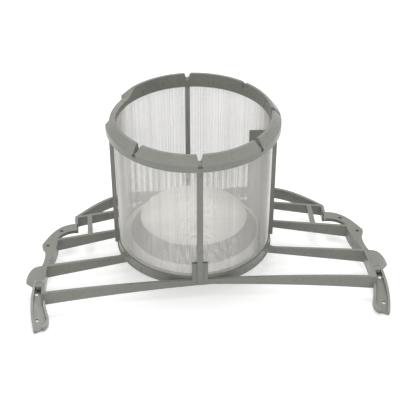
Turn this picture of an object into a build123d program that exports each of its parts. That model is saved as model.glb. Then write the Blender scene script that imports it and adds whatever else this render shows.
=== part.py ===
# Dishwasher filter: a steel mesh basket in a grey moulded frame with a barred wing on each side.
# Millimetres. The origin is on the basket's axis, level with the underside of its base ring.
# +Z points up out of the basket's mouth and -Y points to the front.
from build123d import *
from math import cos, sin, radians, hypot
import os

os.makedirs("parts", exist_ok=True)

# Gap left round the edges of a mesh where the moulding holds it
seat_gap = 0.05

# Base ring, with a groove in its top for the wall mesh
ring_bore_radius = 46.6
ring_inner_lip = 2.05
ring_height = 7.0
ring_grip = 4.0
ring_wall = 0.9
ring_foot_flare = 0.8
ring_foot_chamfer = 1.0

# Wall mesh: a sleeve that narrows towards the ring, opened by a plain grid of gaps
mesh_thickness = 0.6
mesh_taper = 1.7
gap_columns = 24
gap_rows = 4
gap_band = 2.4

# Floor mesh, pressed like a low hat, with a grid of gaps in its crown
floor_clearance = 0.2
floor_trough_width = 5.2
floor_trough_rise = 2.4
floor_flare_width = 6.0
floor_flare_rise = 8.6
floor_shoulder_width = 1.3
floor_shoulder_rise = 3.2
floor_gap_pitch = 7.6
floor_gap_band = 2.0
floor_gap_count = 9

# Rim at the basket's mouth
rim_top = 98.9
rim_inner_lip = 0.4
rim_edge_width = 1.7
rim_lip_width = 6.1
rim_cone_height = 5.3
rim_lip_height = 4.4
rim_grip = 2.8

# Notches in the rim, as angles round the axis
notch_angles = (-135, -90, -45, 0, 45, 90)
notch_top_width = 3.8
notch_bottom_width = 1.6
notch_depth = 4.9
pocket_width = 2.6
pocket_height = 2.2
pocket_depth = 1.2

# Cut-down stretch of the rim, with a ramp at each end
low_start = 134.8
low_end = 185.0
low_start_ramp = 7.6
low_end_ramp = 3.4
low_drop = 5.7
low_lip_trim = 2.4

# Ribs between the rim and the ring, as angles with the width of each
ribs = ((0, 3.6), (90, 3.0), (180, 3.6), (270, 3.6))
rib_depth = 3.1
rib_gap = 0.2

# Block at the foot of the front rib, with a pit on each side of the rib
block_width = 10.0
block_bottom = 1.2
block_top = 18.0
block_proud = 2.3
block_depth = 4.0
pit_width = 2.0
pit_depth = 2.6
pit_reach = 1.2
pit_wall = 0.45

# Solid panel inside the wall mesh, from the rim down to the ring, with a sloping upper corner
panel_start = -35.0
panel_end = 36.0
panel_thickness = 1.3
panel_corner_height = 66.0
panel_slope_start = -12.0

# Wings. They mirror each other about a line beside the basket's axis.
wing_centre = 6.06
bar_top = 5.0
bar_thickness = 2.0
bar_root_fillet = 4.0
underside_level = 1.2
underside_place = 36.0
underside_slope = 0.078
wing_bottom = -4.2

# Bars, each as distance out from the wings' middle line and place along Y
front_bar_end = (105.6, -56.3)
second_bar = ((24.0, -16.2), (104.6, -27.6))
third_bar = ((24.0, 15.8), (97.4, 1.2))
fourth_bar = ((12.0, 41.5), (83.8, 26.4))
rear_bar = ((83.8, 26.4), (72.0, 38.6), (58.4, 48.6), (37.4, 53.4))
rear_bar_bottom = -2.6
rear_bar_seat = 0.3
corner_front = 18.2
strut_line = ((74.8, 28.0), (74.8, 5.0))
strut_width = 3.2
strut_thickness = 2.4

# Arm along the end of each wing: a plate with a wall under its inner edge
arm_thickness = 2.2
arm_wall = 2.0
arm_back = ((83.6, 18.6), (95.2, 14.2), (102.2, 5.0), (106.0, -2.4))
arm_outer = ((105.4, -9.0), (104.7, -14.2), (107.7, -31.0), (110.6, -50.0))
arm_inner = ((105.3, -57.4), (105.0, -50.0), (104.5, -41.0), (102.6, -24.3), (99.6, -14.9), (96.4, 3.0))
arm_corner = ((92.8, 7.4), (83.6, 10.6))
peg_hole_radius = 1.2
peg_holes = ((93.8, 10.7), (102.9, -5.2))
peg_hole_margin = 2.6

# Ear on the outside of each arm
ear_root = 106.5
ear_tip = (117.0, -39.5)
ear_front = (111.3, -45.8)
ear_back = (107.6, -28.0)
ear_bulge = (114.4, -32.0)
ear_brow = (114.6, 3.9)
ear_top = 5.2
ear_tip_height = 1.6
ear_bottom = -0.2

# Paddle at the front of each arm, a channel that leans forward and down
paddle_top = (109.0, -46.0)
paddle_lean = 22.0
paddle_depth = 4.7
paddle_floor = 1.6
paddle_wall = 1.6
paddle_outer = ((110.8, -2.0), (113.0, 10.0), (113.5, 22.0), (111.9, 34.0))
paddle_inner = ((105.8, -2.0), (106.2, 8.0), (105.6, 16.0), (104.1, 24.0))
paddle_lobe = (104.3, 29.0)
paddle_tip = (107.4, 32.2)
paddle_holes = ((110.4, 6.4), (110.4, 25.6))
paddle_hole_radius = 1.2

# Sizes that follow from those above
mesh_bottom = ring_height - ring_grip
mesh_bottom_radius = ring_bore_radius + ring_inner_lip + seat_gap + mesh_thickness
rim_foot = rim_top - rim_cone_height - rim_lip_height
mesh_top = rim_foot + rim_grip
ring_outer_radius = mesh_bottom_radius + ring_wall
core_radius = mesh_bottom_radius + ring_wall / 2


def mesh_outside(height):
    """Outer radius of the wall mesh at a height."""
    return mesh_bottom_radius + mesh_taper * (height - mesh_bottom) / (mesh_top - mesh_bottom)


def mesh_inside(height):
    """Radius of the moulding's surface that faces the inside of the wall mesh."""
    return mesh_outside(height) - mesh_thickness - seat_gap


def panel_outside(height):
    """Outer radius of the solid panel, a gap clear of the wall mesh."""
    return mesh_inside(height) - seat_gap


rim_bore_radius = mesh_inside(rim_foot) - rim_inner_lip
rim_lip_radius = rim_bore_radius + rim_lip_width
floor_edge_radius = panel_outside(ring_height) - panel_thickness - floor_clearance
front_bar_middle = (0.0, -ring_outer_radius - seat_gap)
rear_bar_middle = (0.0, ring_outer_radius + rear_bar_seat)


def radial_plane(angle):
    """The upright plane through the axis, with local x outward at this angle."""
    a = radians(angle)
    return Plane(origin=(0, 0, 0), x_dir=(cos(a), sin(a), 0), z_dir=(sin(a), -cos(a), 0))


def facing_plane(angle, radius):
    """The upright plane at this angle and radius that faces outward, with local y up."""
    a = radians(angle)
    return Plane(
        origin=(radius * cos(a), radius * sin(a), 0),
        x_dir=(-sin(a), cos(a), 0),
        z_dir=(cos(a), sin(a), 0),
    )


def on_wing(side, point):
    """A plan point of the left (-1) or right (1) wing."""
    return (wing_centre + side * point[0], point[1])


def underside(distance):
    """Height of the bars' underside at a distance out from the wings' middle line."""
    return underside_level - underside_slope * (distance - underside_place)


# Wall mesh: the steel sleeve, with bands of mesh left between its gaps
with BuildPart() as wall_mesh:
    with BuildSketch(Plane.XZ):
        with BuildLine():
            Polyline(
                (mesh_bottom_radius - mesh_thickness, mesh_bottom),
                (mesh_bottom_radius, mesh_bottom),
                (mesh_outside(mesh_top), mesh_top),
                (mesh_outside(mesh_top) - mesh_thickness, mesh_top),
                close=True,
            )
        make_face()
    revolve(axis=Axis.Z)
    column_angle = 360 / gap_columns
    row_height = (rim_foot - ring_height) / gap_rows
    gap_width = 2 * mesh_bottom_radius * sin(radians(column_angle / 2)) - gap_band
    for column in range(gap_columns):
        with BuildSketch(facing_plane((column + 0.5) * column_angle, ring_bore_radius)):
            with Locations((0, (rim_foot + ring_height) / 2)):
                with GridLocations(0, row_height, 1, gap_rows):
                    Rectangle(gap_width, row_height - gap_band)
        extrude(amount=rim_lip_width, mode=Mode.SUBTRACT)

# Floor mesh: one pressed sheet with a flat crown, a steep flare and a shallow trough
trough_radius = floor_edge_radius - floor_trough_width
shoulder_radius = trough_radius - floor_flare_width
crown_radius = shoulder_radius - floor_shoulder_width
edge_height = ring_height + seat_gap
trough_height = ring_height + floor_trough_rise
shoulder_height = trough_height + floor_flare_rise
crown_height = shoulder_height + floor_shoulder_rise
with BuildPart() as floor_mesh:
    with BuildSketch(Plane.XZ):
        with BuildLine():
            Polyline(
                (0, crown_height),
                (crown_radius, crown_height),
                (shoulder_radius, shoulder_height),
                (trough_radius, trough_height),
                (floor_edge_radius, edge_height + mesh_thickness),
                (floor_edge_radius, edge_height),
                (ring_bore_radius, edge_height),
                (trough_radius - mesh_thickness, trough_height - mesh_thickness),
                (shoulder_radius - mesh_thickness, shoulder_height - mesh_thickness / 2),
                (crown_radius - mesh_thickness, crown_height - mesh_thickness),
                (0, crown_height - mesh_thickness),
                close=True,
            )
        make_face()
    revolve(axis=Axis.Z)
    with BuildSketch(Plane.XY.offset(crown_height)):
        rows = [(i - (floor_gap_count - 1) / 2) * floor_gap_pitch for i in range(floor_gap_count)]
        reach = crown_radius - floor_gap_pitch
        with Locations(*[(x, y) for x in rows for y in rows if hypot(x, y) < reach]):
            Rectangle(floor_gap_pitch - floor_gap_band, floor_gap_pitch - floor_gap_band)
    extrude(amount=-mesh_thickness * 2, mode=Mode.SUBTRACT)


def paddle_plane(side):
    """The leaning plane of a paddle's upper edges, with local y back up the slope."""
    lean = radians(paddle_lean)
    corner = on_wing(side, paddle_top)
    return Plane(origin=(corner[0], corner[1], bar_top), x_dir=(1, 0, 0), z_dir=(0, -sin(lean), cos(lean)))


def on_paddle(side, point):
    """A local point of a paddle, from distance out and distance down the slope."""
    return (side * (point[0] - paddle_top[0]), -point[1])


# Front bar: one gentle arc across both wings, deeper towards its ends
front_bar_reach = front_bar_end[0] + bar_thickness
with BuildPart() as front_bar:
    with BuildSketch(Plane.XY.offset(wing_bottom)):
        with BuildLine():
            ThreePointArc(
                on_wing(-1, front_bar_end),
                on_wing(1, front_bar_middle),
                on_wing(1, front_bar_end),
            )
        trace(line_width=bar_thickness)
    extrude(amount=bar_top - wing_bottom)
    with BuildSketch(Plane.XZ):
        with BuildLine():
            Polyline(
                (wing_centre, block_bottom),
                (wing_centre + front_bar_reach, wing_bottom),
                (wing_centre + front_bar_reach, bar_top),
                (wing_centre - front_bar_reach, bar_top),
                (wing_centre - front_bar_reach, wing_bottom),
                close=True,
            )
        make_face()
    extrude(amount=front_bar_reach, mode=Mode.INTERSECT)


def bar_side(side, start, end):
    """Side view of a bar, deeper at its outer end, on the upright plane of its face."""
    foot, tip = Vector(on_wing(side, start)), Vector(on_wing(side, end))
    run = tip - foot
    middle = Plane(origin=foot, x_dir=run, z_dir=(run.Y, -run.X, 0))
    with BuildSketch(middle.offset(-bar_thickness / 2)) as profile:
        with BuildLine():
            Polyline(
                (0, underside(start[0])),
                (run.length, underside(end[0])),
                (run.length, bar_top),
                (0, bar_top),
                close=True,
            )
        make_face()
    return profile.sketch


def bar_root(side, start, end):
    """Plan of the two fillets between a bar and the ring."""
    foot = Vector(on_wing(side, start))
    run = (Vector(on_wing(side, end)) - foot).normalized()
    bar_line = foot.dot(Vector(-run.Y, run.X, 0))
    inside = Vector((core_radius**2 - bar_line**2) ** 0.5, bar_line)
    round_reach = ring_outer_radius + bar_root_fillet
    with BuildSketch(Plane(origin=(0, 0, underside_level), x_dir=run, z_dir=(0, 0, 1))) as plan:
        for flank in (-1, 1):
            away = bar_line + flank * (bar_thickness / 2 + bar_root_fillet)
            centre = Vector((round_reach**2 - away**2) ** 0.5, away)
            on_bar = centre - Vector(0, flank * bar_root_fillet)
            on_ring = centre * (ring_outer_radius / round_reach)
            middle = centre + (on_bar + on_ring - centre * 2).normalized() * bar_root_fillet
            with BuildLine():
                ThreePointArc(on_bar, middle, on_ring)
                Polyline(on_ring, inside, on_bar)
            make_face()
    return plan.sketch


def strip_plan(points, width, height):
    """Plan of a strip of even width along a smooth line through the points."""
    with BuildSketch(Plane.XY.offset(height)) as plan:
        with BuildLine():
            if len(points) > 2:
                Spline(points)
            else:
                Line(points)
        trace(line_width=width)
    return plan.sketch


def arm_plan(side):
    """Plan of the flat plate along the end of a wing, with its two peg holes."""
    near_hole = peg_holes[1]
    lobe_tip = on_wing(side, (near_hole[0] + peg_hole_radius + peg_hole_margin, near_hole[1]))
    back = [on_wing(side, point) for point in arm_back]
    outer = [on_wing(side, point) for point in arm_outer]
    inner = [on_wing(side, point) for point in arm_inner[1:] + arm_corner]
    with BuildSketch(Plane.XY.offset(bar_top - arm_thickness)) as plan:
        with BuildLine():
            Spline(back)
            ThreePointArc(back[-1], lobe_tip, outer[0])
            Spline(outer)
            Line(outer[-1], inner[0])
            Spline(inner)
            Line(inner[-1], back[0])
        make_face()
        with Locations(*[on_wing(side, hole) for hole in peg_holes]):
            Circle(peg_hole_radius, mode=Mode.SUBTRACT)
    return plan.sketch


def ear(side):
    """Solid lug on the outside of an arm, rounded in plan and falling away to its tip."""
    with BuildPart() as lug:
        with BuildSketch(Plane.XY.offset(ear_bottom)):
            with BuildLine():
                ThreePointArc(on_wing(side, ear_back), on_wing(side, ear_bulge), on_wing(side, ear_tip))
                Polyline(
                    on_wing(side, ear_tip),
                    on_wing(side, ear_front),
                    on_wing(side, (ear_root, ear_front[1])),
                    on_wing(side, (ear_root, ear_back[1])),
                    on_wing(side, ear_back),
                )
            make_face()
        extrude(amount=ear_top - ear_bottom)
        with BuildSketch(Plane.XZ.offset(-ear_back[1])):
            with BuildLine():
                ThreePointArc(
                    on_wing(side, (ear_back[0], ear_top)),
                    on_wing(side, ear_brow),
                    on_wing(side, (ear_tip[0], ear_tip_height)),
                )
                Polyline(
                    on_wing(side, (ear_tip[0], ear_tip_height)),
                    on_wing(side, (ear_tip[0], ear_bottom)),
                    on_wing(side, (ear_root, ear_bottom)),
                    on_wing(side, (ear_root, ear_top)),
                    on_wing(side, (ear_back[0], ear_top)),
                )
            make_face()
        extrude(amount=ear_back[1] - ear_front[1], mode=Mode.INTERSECT)
    return lug.part


def paddle(side):
    """Channel that leans forward and down from an arm, open at its square tip."""
    outer = [on_paddle(side, point) for point in paddle_outer]
    inner = [on_paddle(side, point) for point in paddle_inner]
    lobe, tip = on_paddle(side, paddle_lobe), on_paddle(side, paddle_tip)
    floor_plane = paddle_plane(side).offset(-paddle_depth)
    with BuildPart() as channel:
        with BuildSketch(floor_plane):
            with BuildLine():
                Spline(outer)
                Line(outer[-1], tip)
                ThreePointArc(tip, lobe, inner[-1])
                Spline(inner)
                Line(inner[0], outer[0])
            make_face()
            with Locations(*[on_paddle(side, hole) for hole in paddle_holes]):
                Circle(paddle_hole_radius, mode=Mode.SUBTRACT)
        extrude(amount=paddle_floor)
        with BuildSketch(floor_plane):
            with BuildLine():
                Spline(outer)
            trace(line_width=paddle_wall)
            with BuildLine():
                Spline(inner)
                ThreePointArc(inner[-1], lobe, tip)
            trace(line_width=paddle_wall)
        extrude(amount=paddle_depth)
    return channel.part


# Wings: bars, strut, corner, arm, ear and paddle on each side of the basket
wing_depth = bar_top - wing_bottom
with BuildPart() as wings:
    add(front_bar.part)
    rear_line = [on_wing(-1, point) for point in rear_bar]
    rear_line += [on_wing(1, rear_bar_middle)]
    rear_line += [on_wing(1, point) for point in reversed(rear_bar)]
    extrude(strip_plan(rear_line, bar_thickness, rear_bar_bottom), amount=bar_top - rear_bar_bottom)
    for side in (-1, 1):
        for start, end in (second_bar, third_bar, fourth_bar):
            extrude(bar_side(side, start, end), amount=bar_thickness)
        for start, end in (second_bar, third_bar):
            extrude(bar_root(side, start, end), amount=bar_top - underside_level)
        corner = [on_wing(side, rear_bar[0]), on_wing(side, (rear_bar[0][0], corner_front))]
        extrude(strip_plan(corner, bar_thickness, rear_bar_bottom), amount=bar_top - rear_bar_bottom)
        strut = [on_wing(side, point) for point in strut_line]
        extrude(strip_plan(strut, strut_width, bar_top - strut_thickness), amount=strut_thickness)
        wall_line = [on_wing(side, (point[0] + arm_wall / 2, point[1])) for point in arm_inner]
        extrude(strip_plan(wall_line, arm_wall, wing_bottom), amount=wing_depth)
        extrude(arm_plan(side), amount=arm_thickness)
        add(ear(side))
        add(paddle(side))
    with BuildSketch(Plane.XY.offset(wing_bottom)):
        Circle(core_radius)
    extrude(amount=wing_depth, mode=Mode.SUBTRACT)

# Panel: a plate that closes part of the wall from inside, cut to a slope at its upper corner
panel_top = rim_foot + rim_grip / 2
with BuildPart() as panel:
    with BuildSketch(radial_plane(panel_start)):
        with BuildLine():
            Polyline(
                (panel_outside(mesh_bottom) - panel_thickness, mesh_bottom),
                (panel_outside(mesh_bottom), mesh_bottom),
                (panel_outside(panel_top), panel_top),
                (panel_outside(panel_top) - panel_thickness, panel_top),
                close=True,
            )
        make_face()
    revolve(axis=Axis.Z, revolution_arc=panel_end - panel_start)
    corner_place = panel_outside(panel_corner_height) * sin(radians(panel_end))
    with BuildSketch(facing_plane(0, 0)):
        with BuildLine():
            Polyline(
                (corner_place, panel_corner_height),
                (panel_slope_start, panel_top),
                (rim_lip_radius, panel_top),
                (rim_lip_radius, panel_corner_height),
                close=True,
            )
        make_face()
    extrude(amount=rim_lip_radius, mode=Mode.SUBTRACT)

# Moulded frame: rim, ribs, ring, block and panel round the basket, with both wings
with BuildPart() as frame:
    with BuildSketch(Plane.XZ):
        with BuildLine():
            Polyline(
                (rim_bore_radius, rim_top),
                (rim_bore_radius + rim_edge_width, rim_top),
                (rim_lip_radius, rim_top - rim_cone_height),
                (rim_lip_radius, rim_foot),
                (mesh_outside(rim_foot) + seat_gap, rim_foot),
                (mesh_outside(mesh_top) + seat_gap, mesh_top + seat_gap),
                (mesh_inside(mesh_top), mesh_top + seat_gap),
                (mesh_inside(rim_foot), rim_foot),
                (rim_bore_radius, rim_foot),
                close=True,
            )
        make_face()
    revolve(axis=Axis.Z)
    for angle in notch_angles:
        with BuildSketch(facing_plane(angle, rim_bore_radius - rim_inner_lip)):
            with BuildLine():
                Polyline(
                    (-notch_top_width / 2, rim_top),
                    (-notch_bottom_width / 2, rim_top - notch_depth),
                    (notch_bottom_width / 2, rim_top - notch_depth),
                    (notch_top_width / 2, rim_top),
                    close=True,
                )
            make_face()
        extrude(amount=rim_lip_width * 2, mode=Mode.SUBTRACT)
        with BuildSketch(facing_plane(angle, rim_lip_radius - pocket_depth)):
            with Locations((0, rim_top - notch_depth - pocket_height / 2)):
                Rectangle(pocket_width, pocket_height)
        extrude(amount=pocket_depth * 2, mode=Mode.SUBTRACT)
    low_middle = (low_start + low_end) / 2
    low_angles = (low_start, low_start + low_start_ramp, low_end - low_end_ramp, low_end)
    low_places = [rim_bore_radius * sin(radians(angle - low_middle)) for angle in low_angles]
    with BuildSketch(facing_plane(low_middle, 0)):
        with BuildLine():
            Polyline(
                (low_places[0], rim_top),
                (low_places[1], rim_top - low_drop),
                (low_places[2], rim_top - low_drop),
                (low_places[3], rim_top),
                close=True,
            )
        make_face()
    extrude(amount=rim_lip_radius * 2, mode=Mode.SUBTRACT)
    with BuildSketch(radial_plane(low_angles[1])):
        with Locations((rim_lip_radius - low_lip_trim, rim_foot)):
            Rectangle(low_lip_trim * 2, rim_top - rim_foot, align=(Align.MIN, Align.MIN))
    revolve(axis=Axis.Z, revolution_arc=low_angles[2] - low_angles[1], mode=Mode.SUBTRACT)
    with BuildSketch(Plane.XZ):
        with BuildLine():
            Polyline(
                (ring_bore_radius, 0),
                (ring_outer_radius, 0),
                (ring_outer_radius + ring_foot_flare, ring_foot_chamfer),
                (ring_outer_radius, ring_foot_chamfer + ring_foot_flare),
                (ring_outer_radius, ring_height),
                (mesh_outside(ring_height) + seat_gap, ring_height),
                (mesh_bottom_radius + seat_gap, mesh_bottom - seat_gap),
                (mesh_inside(mesh_bottom), mesh_bottom - seat_gap),
                (mesh_inside(ring_height), ring_height),
                (ring_bore_radius, ring_height),
                close=True,
            )
        make_face()
    revolve(axis=Axis.Z)
    for angle, width in ribs:
        with BuildSketch(radial_plane(angle).offset(-width / 2)):
            with BuildLine():
                Polyline(
                    (mesh_outside(mesh_bottom) + rib_gap, mesh_bottom),
                    (mesh_outside(mesh_bottom) + rib_depth, mesh_bottom),
                    (mesh_outside(mesh_top) + rib_depth, mesh_top),
                    (mesh_outside(mesh_top) + rib_gap, mesh_top),
                    close=True,
                )
            make_face()
        extrude(amount=width)
    block_face = mesh_bottom_radius + block_proud
    with BuildSketch(Plane.XY.offset(block_bottom)):
        with Locations((0, block_depth / 2 - block_face)):
            Rectangle(block_width, block_depth)
        Circle(mesh_outside(block_top) + seat_gap, mode=Mode.SUBTRACT)
    extrude(amount=block_top - block_bottom)
    pit_place = (ribs[3][1] + pit_width) / 2
    with BuildSketch(Plane.XY.offset(block_top)):
        with Locations((-pit_place, pit_wall - block_face), (pit_place, pit_wall - block_face)):
            Rectangle(pit_width, pit_reach, align=(Align.CENTER, Align.MIN))
    extrude(amount=-pit_depth, mode=Mode.SUBTRACT)
    add(panel.part)
    add(wings.part)

frame.part.label = "filter_frame"
wall_mesh.part.label = "wall_mesh"
floor_mesh.part.label = "floor_mesh"
export_step(frame.part, "parts/filter_frame.step")
export_step(wall_mesh.part, "parts/wall_mesh.step")
export_step(floor_mesh.part, "parts/floor_mesh.step")
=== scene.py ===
# Dishwasher filter: satin grey moulding with woven steel wire in its wall and floor.
# Metres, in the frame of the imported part: +Z out of the basket's mouth, -Y to the front.
from math import radians

import bpy
import numpy as np
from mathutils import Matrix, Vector
from mathutils.bvhtree import BVHTree


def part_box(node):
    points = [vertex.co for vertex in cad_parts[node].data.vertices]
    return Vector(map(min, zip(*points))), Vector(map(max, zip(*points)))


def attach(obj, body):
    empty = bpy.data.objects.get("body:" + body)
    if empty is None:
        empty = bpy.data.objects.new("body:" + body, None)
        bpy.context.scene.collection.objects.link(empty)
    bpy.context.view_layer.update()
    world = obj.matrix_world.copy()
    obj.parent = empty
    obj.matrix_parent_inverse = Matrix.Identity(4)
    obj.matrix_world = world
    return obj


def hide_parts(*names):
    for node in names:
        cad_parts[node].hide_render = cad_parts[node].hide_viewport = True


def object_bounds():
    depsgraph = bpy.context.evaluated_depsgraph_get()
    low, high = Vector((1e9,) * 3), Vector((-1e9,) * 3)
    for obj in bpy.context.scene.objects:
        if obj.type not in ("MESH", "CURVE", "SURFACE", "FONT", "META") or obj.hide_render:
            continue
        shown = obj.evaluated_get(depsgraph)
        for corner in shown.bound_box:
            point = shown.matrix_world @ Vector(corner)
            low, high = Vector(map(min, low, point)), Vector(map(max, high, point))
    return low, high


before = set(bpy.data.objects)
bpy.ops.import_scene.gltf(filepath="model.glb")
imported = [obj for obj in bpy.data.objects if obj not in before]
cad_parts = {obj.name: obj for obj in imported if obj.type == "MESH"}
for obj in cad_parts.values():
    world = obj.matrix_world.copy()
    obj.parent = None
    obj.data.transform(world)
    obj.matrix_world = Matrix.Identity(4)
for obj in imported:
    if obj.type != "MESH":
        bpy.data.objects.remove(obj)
cad_low, cad_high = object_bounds()

# Camera, fitted to the photograph's 415 x 415 frame
PHOTO_WIDTH = 415
CAMERA_AZIMUTH = -4.8206
CAMERA_ELEVATION = 34.0427
CAMERA_FOCAL_PIXELS = 1539.35
CAMERA_PLACE = (-0.06160, -0.83742, 0.59349)
SENSOR_WIDTH = 36.0

# Woven wire: thickness, pitch, and how far wires stand off their places, as shares of the pitch
WALL_WIRE = 0.00021
WALL_PITCH = 0.00055
WALL_SPACING_ERROR = 0.09
FLOOR_WIRE = 0.00032
FLOOR_PITCH = 0.00050
FLOOR_SPACING_ERROR = 0.22
LARGEST_SPACING_ERROR = 0.4
SEED = 7

# Fineness of the wires: points round a hoop, step along a floor wire, and fewest points in one
HOOP_SEGMENTS = 120
FLOOR_STEP = 0.0006
FEWEST_POINTS = 3

# Largest turn that counts as straight, in radians, and largest difference in height that counts as level
STRAIGHT_TURN = 0.004
LEVEL_TOLERANCE = 0.0003

# Plastic: colours, roughness, and the scales of its clouding, smears and grain
PLASTIC_DARK, PLASTIC_LIGHT = (0.216, 0.219, 0.196), (0.246, 0.25, 0.222)
PLASTIC_GLOSSY, PLASTIC_DULL = 0.24, 0.38
PLASTIC_REFRACTION = 1.5
CLOUD_SCALE = 45.0
SMEAR_SCALE = 120.0
GRAIN_SCALE = 2600.0
GRAIN_STRENGTH = 0.05
GRAIN_DEPTH = 0.00012

# Wire: colours, as the dark and light ends of painted reflection streaks, roughness, and the scale of
# the streaks in it
# Painted shade: the upright wires, inside the hoops, are painted darker than the hoops of the same
# steel, so the inside of the sleeve looks shaded
UPRIGHT_DARK, UPRIGHT_LIGHT = (0.33, 0.322, 0.305), (0.62, 0.607, 0.575)
HOOP_DARK, HOOP_LIGHT = (0.80, 0.785, 0.75), (0.92, 0.905, 0.87)
FLOOR_DARK, FLOOR_LIGHT = (0.92, 0.915, 0.885), (0.98, 0.975, 0.945)
WALL_ROUGHNESS = 0.4
FLOOR_ROUGHNESS = 0.6
STREAK_SCALE = 160.0
STREAK_SQUASH = 0.02

# The floor's drawn flank: its painted shade, a darkening of the steep flank that stands in for the dark
# reflection there, and where it starts and ends as shares of the floor's height
FLANK_PAINTED_SHADE = 0.36
FLANK_LOW, FLANK_HIGH = 0.19, 0.955
FLANK_BLEND = 0.03

# The part of a noise's range over which a colour or roughness changes
NOISE_LOW, NOISE_HIGH = 0.3, 0.7

# White room round the object
WORLD_STRENGTH = 0.63
ROOM_COLOUR = (0.8, 0.8, 0.8)
ROOM_ROUGHNESS = 0.9
ROOM_REACH = 3.0
FLOOR_GLOW = 0.42

# Lamps: name, place, power in watts and width
LAMPS = (
    ("left_high_lamp", (-0.32, -0.46, 0.88), 0.7, 0.25),
    ("right_high_lamp", (0.46, -0.32, 0.88), 0.6, 0.25),
    ("top_lamp", (0.0, 0.2, 0.95), 3.7, 0.45),
    ("left_low_lamp", (-0.85, -0.3, 0.26), 1.7, 0.9),
    ("right_low_lamp", (0.85, -0.3, 0.26), 1.15, 0.9),
)

chance = np.random.default_rng(SEED)


def node_material(name):
    """A new material with its nodes, links and Principled shader."""
    material = bpy.data.materials.new(name)
    material.use_nodes = True
    tree = material.node_tree
    return material, tree.nodes, tree.links, tree.nodes["Principled BSDF"]


def noise(nodes, links, place, scale, detail, roughness=0.55):
    """A noise texture on the given coordinates."""
    texture = nodes.new("ShaderNodeTexNoise")
    texture.inputs["Scale"].default_value = scale
    texture.inputs["Detail"].default_value = detail
    texture.inputs["Roughness"].default_value = roughness
    links.new(place, texture.inputs["Vector"])
    return texture


def ramp(nodes, links, source, low, high, first, last):
    """A colour ramp from the first colour at low to the last one at high."""
    colours = nodes.new("ShaderNodeValToRGB")
    colours.color_ramp.elements[0].position = low
    colours.color_ramp.elements[1].position = high
    colours.color_ramp.elements[0].color = (*first, 1)
    colours.color_ramp.elements[1].color = (*last, 1)
    links.new(source, colours.inputs["Fac"])
    return colours


def noise_ramp(nodes, links, texture, first, last):
    """A colour ramp over the middle of a noise's range."""
    return ramp(nodes, links, texture.outputs["Fac"], NOISE_LOW, NOISE_HIGH, first, last)


def grey_plastic():
    """Satin moulded plastic: a warm grey with faint clouding, uneven gloss and a fine grain."""
    material, nodes, links, shader = node_material("satin_grey_plastic")
    place = nodes.new("ShaderNodeTexCoord").outputs["Object"]
    cloud = noise(nodes, links, place, CLOUD_SCALE, detail=4.0)
    colour = noise_ramp(nodes, links, cloud, PLASTIC_DARK, PLASTIC_LIGHT)
    links.new(colour.outputs["Color"], shader.inputs["Base Color"])
    smear = noise(nodes, links, place, SMEAR_SCALE, detail=2.0)
    gloss = noise_ramp(nodes, links, smear, (PLASTIC_GLOSSY,) * 3, (PLASTIC_DULL,) * 3)
    links.new(gloss.outputs["Color"], shader.inputs["Roughness"])
    grain = noise(nodes, links, place, GRAIN_SCALE, detail=2.0)
    bump = nodes.new("ShaderNodeBump")
    bump.inputs["Strength"].default_value = GRAIN_STRENGTH
    bump.inputs["Distance"].default_value = GRAIN_DEPTH
    links.new(grain.outputs["Fac"], bump.inputs["Height"])
    links.new(bump.outputs["Normal"], shader.inputs["Normal"])
    shader.inputs["IOR"].default_value = PLASTIC_REFRACTION
    return material


def steel_wire(name, dark, light, roughness):
    """Steel wire with fine upright streaks of painted reflection: lighter and darker bands in its colour
    that stand in for the wires' highlights.
    """
    material, nodes, links, shader = node_material(name)
    place = nodes.new("ShaderNodeTexCoord").outputs["Object"]
    squash = nodes.new("ShaderNodeMapping")
    squash.inputs["Scale"].default_value = (1.0, 1.0, STREAK_SQUASH)
    links.new(place, squash.inputs["Vector"])
    reflection_streak = noise(nodes, links, squash.outputs["Vector"], STREAK_SCALE, detail=4.0, roughness=0.7)
    colour = noise_ramp(nodes, links, reflection_streak, dark, light)
    links.new(colour.outputs["Color"], shader.inputs["Base Color"])
    shader.inputs["Roughness"].default_value = roughness
    shader.inputs["Metallic"].default_value = 1.0
    return material


def pressed_steel_wire(low, high):
    """The floor's wire between two heights, with painted shade on the drawn flank, darker than on the
    crown and trough.
    """
    material = steel_wire("floor_steel_wire", FLOOR_DARK, FLOOR_LIGHT, FLOOR_ROUGHNESS)
    nodes, links = material.node_tree.nodes, material.node_tree.links
    shader = nodes["Principled BSDF"]
    reflection_streaks = shader.inputs["Base Color"].links[0].from_socket
    split = nodes.new("ShaderNodeSeparateXYZ")
    links.new(nodes.new("ShaderNodeTexCoord").outputs["Object"], split.inputs["Vector"])
    share = nodes.new("ShaderNodeMapRange")
    share.inputs["From Min"].default_value = low
    share.inputs["From Max"].default_value = high
    links.new(split.outputs["Z"], share.inputs["Value"])
    # Painted shade: this ramp multiplies the colour down on the drawn flank and leaves it as it is on
    # the crown and trough
    bright, flank_painted_shade = (1, 1, 1), (FLANK_PAINTED_SHADE,) * 3
    shade = ramp(nodes, links, share.outputs["Result"], FLANK_LOW, FLANK_LOW + FLANK_BLEND, bright, flank_painted_shade)
    for position, tone in ((FLANK_HIGH - FLANK_BLEND, flank_painted_shade), (FLANK_HIGH, bright)):
        shade.color_ramp.elements.new(position).color = (*tone, 1)
    shaded = nodes.new("ShaderNodeMix")
    shaded.data_type = "RGBA"
    shaded.blend_type = "MULTIPLY"
    shaded.inputs["Factor"].default_value = 1.0
    links.new(reflection_streaks, shaded.inputs["A"])
    links.new(shade.outputs["Color"], shaded.inputs["B"])
    links.new(shaded.outputs["Result"], shader.inputs["Base Color"])
    return material


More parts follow.
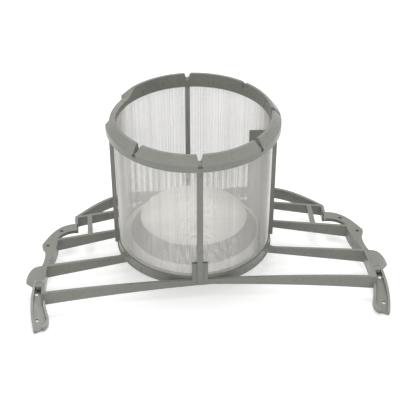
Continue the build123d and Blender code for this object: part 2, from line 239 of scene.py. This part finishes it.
class Wires:
    """Collects wires as four-sided tubes and makes one mesh object of them."""

    def __init__(self):
        self.points = []
        self.faces = []
        self.slots = []
        self.count = 0

    def add(self, path, normals, radius, closed=False, slot=0):
        """One wire along a path, with a normal at each of its points and a material by number."""
        path, normals = np.asarray(path, float), np.asarray(normals, float)
        if closed:
            along = np.roll(path, -1, 0) - np.roll(path, 1, 0)
        else:
            along = np.gradient(path, axis=0)
        along /= np.linalg.norm(along, axis=1, keepdims=True)
        across = np.cross(along, normals)
        across /= np.linalg.norm(across, axis=1, keepdims=True)
        out = np.cross(across, along)
        corners = np.stack([out, across, -out, -across], axis=1) * radius
        self.points.append((path[:, None, :] + corners).reshape(-1, 3))
        sides = corners.shape[1]
        stretches = len(path) if closed else len(path) - 1
        for i in range(stretches):
            ring = self.count + i * sides
            following = self.count + (i + 1) % len(path) * sides
            for side in range(sides):
                beside = (side + 1) % sides
                self.faces.append((ring + side, ring + beside, following + beside, following + side))
        if not closed:
            last = self.count + (len(path) - 1) * sides
            self.faces.append(tuple(self.count + side for side in reversed(range(sides))))
            self.faces.append(tuple(last + side for side in range(sides)))
        self.slots += [slot] * (len(self.faces) - len(self.slots))
        self.count += len(path) * sides

    def make(self, name, node, materials):
        """The mesh object, which stands for a CAD node."""
        mesh = bpy.data.meshes.new(name)
        mesh.from_pydata(np.concatenate(self.points).tolist(), [], self.faces)
        mesh.polygons.foreach_set("use_smooth", [True] * len(mesh.polygons))
        mesh.polygons.foreach_set("material_index", self.slots)
        for material in materials:
            mesh.materials.append(material)
        piece = bpy.data.objects.new(name, mesh)
        bpy.context.scene.collection.objects.link(piece)
        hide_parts(node)
        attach(piece, "root")


def node_points(node):
    """The points of a CAD node, as rows."""
    return np.array([vertex.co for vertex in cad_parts[node].data.vertices])


def outer_radius(points, height):
    """Largest radius of the points that lie at a height."""
    level = points[np.abs(points[:, 2] - height) < LEVEL_TOLERANCE]
    return np.hypot(level[:, 0], level[:, 1]).max()


def uneven(rows, error):
    """Row numbers, each moved by a share of the pitch, as wires stand in a real weave."""
    moves = chance.normal(0, error, len(rows))
    return rows + moves.clip(-LARGEST_SPACING_ERROR, LARGEST_SPACING_ERROR)


def wall_wires(upright_wire, hoop_wire):
    """The sleeve: hoops outside, upright wires inside them, both within the solid sleeve's thickness."""
    points = node_points("wall_mesh")
    low, high = points[:, 2].min(), points[:, 2].max()
    low_radius, high_radius = outer_radius(points, low), outer_radius(points, high)
    half = WALL_WIRE / 2
    hoop_depth, upright_depth = half, half * 3
    wires = Wires()

    uprights = round(2 * np.pi * low_radius / WALL_PITCH)
    for angle in uneven(np.arange(uprights), WALL_SPACING_ERROR) * 2 * np.pi / uprights:
        out = np.array((np.cos(angle), np.sin(angle), 0))
        foot = out * (low_radius - upright_depth) + (0, 0, low)
        head = out * (high_radius - upright_depth) + (0, 0, high)
        wires.add([foot, head], [out, out], half)

    turns = np.arange(HOOP_SEGMENTS) * 2 * np.pi / HOOP_SEGMENTS
    circle = np.stack([np.cos(turns), np.sin(turns), turns * 0], axis=1)
    hoops = round((high - low) / WALL_PITCH)
    for share in (uneven(np.arange(hoops), WALL_SPACING_ERROR) + 0.5) / hoops:
        radius = low_radius + (high_radius - low_radius) * share - hoop_depth
        height = low + (high - low) * share
        wires.add(circle * radius + (0, 0, height), circle, half, closed=True, slot=1)
    wires.make("wall_wires", "wall_mesh", (upright_wire, hoop_wire))


def without_straight_points(path):
    """The path without points that lie on the line between their neighbours."""
    kept = [path[0]]
    for i in range(1, len(path) - 1):
        before, after = path[i] - kept[-1], path[i + 1] - path[i]
        turn = np.linalg.norm(np.cross(before, after)) / (np.linalg.norm(before) * np.linalg.norm(after))
        if turn > STRAIGHT_TURN:
            kept.append(path[i])
    return np.array([*kept, path[-1]])


def floor_wires(material):
    """The pressed floor: wires along X over wires along Y, hung from the solid floor's upper side.

    A wire runs straight across an opening of the solid floor, where the ray meets nothing.
    """
    points = node_points("floor_mesh")
    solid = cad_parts["floor_mesh"].data
    corners = [vertex.co for vertex in solid.vertices]
    tree = BVHTree.FromPolygons(corners, [tuple(face.vertices) for face in solid.polygons])
    edge = np.hypot(points[:, 0], points[:, 1]).max()
    above = points[:, 2].max() * 2
    half = FLOOR_WIRE / 2
    rows = int(edge / FLOOR_PITCH)
    wires = Wires()
    for along_x in (True, False):
        depth = half if along_x else half * 3
        for row in uneven(np.arange(-rows, rows + 1), FLOOR_SPACING_ERROR):
            offset = row * FLOOR_PITCH
            if abs(offset) > edge - FLOOR_STEP:
                continue
            reach = (edge**2 - offset**2) ** 0.5 - FLOOR_STEP / 2
            path = []
            for place in np.linspace(-reach, reach, max(int(2 * reach / FLOOR_STEP), FEWEST_POINTS)):
                x, y = (place, offset) if along_x else (offset, place)
                hit = tree.ray_cast(Vector((x, y, above)), Vector((0, 0, -1)))[0]
                if hit is not None:
                    path.append((x, y, hit.z - depth))
            if len(path) >= FEWEST_POINTS:
                path = without_straight_points(np.array(path))
                wires.add(path, [(0, 0, 1)] * len(path), half)
    wires.make("floor_wires", "floor_mesh", (material,))


def seen_rays(nodes, links):
    """One for camera, glossy and transmission rays, by which the room is seen, and zero for the rest."""
    rays = nodes.new("ShaderNodeLightPath")
    total = rays.outputs["Is Camera Ray"]
    for name in ("Is Glossy Ray", "Is Transmission Ray"):
        either = nodes.new("ShaderNodeMath")
        either.operation = "MAXIMUM"
        links.new(total, either.inputs[0])
        links.new(rays.outputs[name], either.inputs[1])
        total = either.outputs[0]
    return total


def white_room():
    """Pale floor under the part, which shows near white and keeps the part's shadow."""
    material, nodes, links, shader = node_material("white_room")
    shader.inputs["Base Color"].default_value = (*ROOM_COLOUR, 1)
    shader.inputs["Roughness"].default_value = ROOM_ROUGHNESS
    level = nodes.new("ShaderNodeMath")
    level.operation = "MULTIPLY"
    level.inputs[1].default_value = FLOOR_GLOW
    links.new(seen_rays(nodes, links), level.inputs[0])
    glow = nodes.new("ShaderNodeEmission")
    links.new(level.outputs[0], glow.inputs["Strength"])
    both = nodes.new("ShaderNodeAddShader")
    links.new(shader.outputs[0], both.inputs[0])
    links.new(glow.outputs[0], both.inputs[1])
    links.new(both.outputs[0], nodes["Material Output"].inputs["Surface"])
    mesh = bpy.data.meshes.new("room_floor")
    reach, height = ROOM_REACH, cad_low.z
    square = ((-reach, -reach), (reach, -reach), (reach, reach), (-reach, reach))
    mesh.from_pydata([(x, y, height) for x, y in square], [], [(0, 1, 2, 3)])
    mesh.materials.append(material)
    floor = bpy.data.objects.new("room_floor", mesh)
    bpy.context.scene.collection.objects.link(floor)


def world_light():
    """Even pale light from all round, seen as white by the camera and in reflections."""
    world = bpy.data.worlds.new("pale_room")
    bpy.context.scene.world = world
    world.use_nodes = True
    nodes, links = world.node_tree.nodes, world.node_tree.links
    lit = nodes["Background"]
    lit.inputs["Color"].default_value = (1, 1, 1, 1)
    lit.inputs["Strength"].default_value = WORLD_STRENGTH
    white = nodes.new("ShaderNodeBackground")
    white.inputs["Strength"].default_value = 1.0
    mix = nodes.new("ShaderNodeMixShader")
    links.new(seen_rays(nodes, links), mix.inputs["Fac"])
    links.new(lit.outputs[0], mix.inputs[1])
    links.new(white.outputs[0], mix.inputs[2])
    links.new(mix.outputs[0], nodes["World Output"].inputs["Surface"])


def area_lamp(name, place, power, width):
    """A square soft lamp that points at the middle of the part."""
    data = bpy.data.lights.new(name, "AREA")
    data.energy = power
    data.size = width
    lamp = bpy.data.objects.new(name, data)
    bpy.context.scene.collection.objects.link(lamp)
    aim = (cad_low + cad_high) / 2
    lamp.location = place
    lamp.rotation_euler = (aim - Vector(place)).to_track_quat("-Z", "Y").to_euler()


def camera():
    """The camera at the photograph's place and angle."""
    data = bpy.data.cameras.new("camera")
    data.sensor_width = SENSOR_WIDTH
    data.lens = CAMERA_FOCAL_PIXELS * SENSOR_WIDTH / PHOTO_WIDTH
    view = bpy.data.objects.new("camera", data)
    bpy.context.scene.collection.objects.link(view)
    view.location = CAMERA_PLACE
    view.rotation_euler = (radians(90 - CAMERA_ELEVATION), 0, radians(CAMERA_AZIMUTH))
    bpy.context.scene.camera = view


camera()
bpy.context.scene.view_settings.view_transform = "Standard"

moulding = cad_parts["filter_frame"]
moulding.data.materials.clear()
moulding.data.materials.append(grey_plastic())
# The upright wires get a darker copy of the steel: painted shade for the inside of the sleeve
upright_steel = steel_wire("upright_steel_wire", UPRIGHT_DARK, UPRIGHT_LIGHT, WALL_ROUGHNESS)
hoop_steel = steel_wire("hoop_steel_wire", HOOP_DARK, HOOP_LIGHT, WALL_ROUGHNESS)
wall_wires(upright_steel, hoop_steel)
floor_low, floor_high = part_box("floor_mesh")
floor_wires(pressed_steel_wire(floor_low[2], floor_high[2]))

white_room()
world_light()
for name, place, power, width in LAMPS:
    area_lamp(name, place, power, width)
